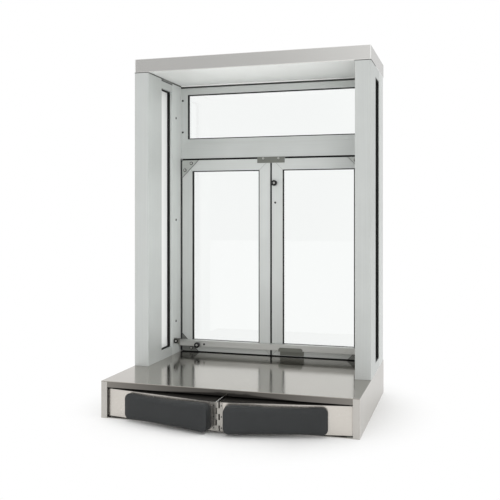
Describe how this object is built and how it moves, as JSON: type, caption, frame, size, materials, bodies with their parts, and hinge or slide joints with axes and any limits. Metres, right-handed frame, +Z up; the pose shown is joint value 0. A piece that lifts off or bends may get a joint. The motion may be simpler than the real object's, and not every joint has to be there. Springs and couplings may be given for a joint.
{
  "type": "bifold window",
  "caption": "Pass-through bifold service window with glazed bay, transom light, steel counter box and hinged hip bump pads.",
  "frame": {"origin": "middle of the underside of the counter box", "axes": "+Z up, +X to the clerk's right, +Y away from the clerk and out through the window"},
  "size_m": [0.8128, 0.6802, 1.1741],
  "materials": {
    "stainless": "brushed stainless sheet",
    "anodised": "clear anodised, satin",
    "pane": "clear",
    "gasket": "matt black",
    "cap_steel": "brushed stainless sheet",
    "soffit": "white",
    "fitting_steel": "satin steel",
    "knob_black": "black moulded",
    "hinge_steel": "bright steel",
    "vinyl": "charcoal upholstery vinyl"
  },
  "bodies": {
    "window": {"counter_top": "stainless", "base_left_side": "stainless", "base_right_side": "stainless", "base_rear_panel": "stainless", "base_floor_pan": "stainless", "left_post": "anodised", "right_post": "anodised", "left_rear_jamb": "anodised", "right_rear_jamb": "anodised", "side_sill_rails": "anodised", "side_head_rails": "anodised", "left_side_glass": "pane", "right_side_glass": "pane", "left_side_gasket": "gasket", "right_side_gasket": "gasket", "transom_bar": "anodised", "head_rail": "anodised", "transom_bottom_bead": "anodised", "transom_side_beads": "anodised", "transom_glass": "pane", "transom_gasket": "gasket", "top_cap": "cap_steel", "soffit_panel": "soffit", "left_leaf_frame": "anodised", "right_leaf_frame": "anodised", "left_leaf_glass": "pane", "right_leaf_glass": "pane", "left_leaf_gasket": "gasket", "right_leaf_gasket": "gasket", "corner_gussets": "anodised", "leaf_seals": "gasket", "leaf_stop": "fitting_steel", "lock_bar": "anodised", "lock_bar_arms": "fitting_steel", "lock_bar_clip": "fitting_steel", "leaf_knob": "knob_black", "bar_knob": "knob_black", "left_pivot_pin": "fitting_steel", "right_slide_guides": "fitting_steel"},
    "left_plate": {"left_push_plate": "stainless", "left_hinge_leaf": "hinge_steel", "left_bump_pad": "vinyl", "hinge_pin": "fitting_steel"},
    "right_plate": {"right_push_plate": "stainless", "right_hinge_leaf": "hinge_steel", "right_bump_pad": "vinyl", "right_slide_pin": "fitting_steel"}
  },
  "joints": [
    {"name": "left_plate_pivot", "type": "hinge", "parent": "window", "child": "left_plate", "pos_m": [-0.379, -0.27825, 0.05], "axis": [0, 0, 1], "range_deg": [0, 9.9], "stiffness_Nm_per_rad": 20},
    {"name": "centre_hinge", "type": "hinge", "parent": "left_plate", "child": "right_plate", "pos_m": [0, -0.34947, 0.05], "axis": [0, 0, 1], "range_deg": [-19.8, 0]}
  ],
  "couplings": [
    {"joint": "centre_hinge", "follows": "left_plate_pivot", "ratio": -2}
  ]
}
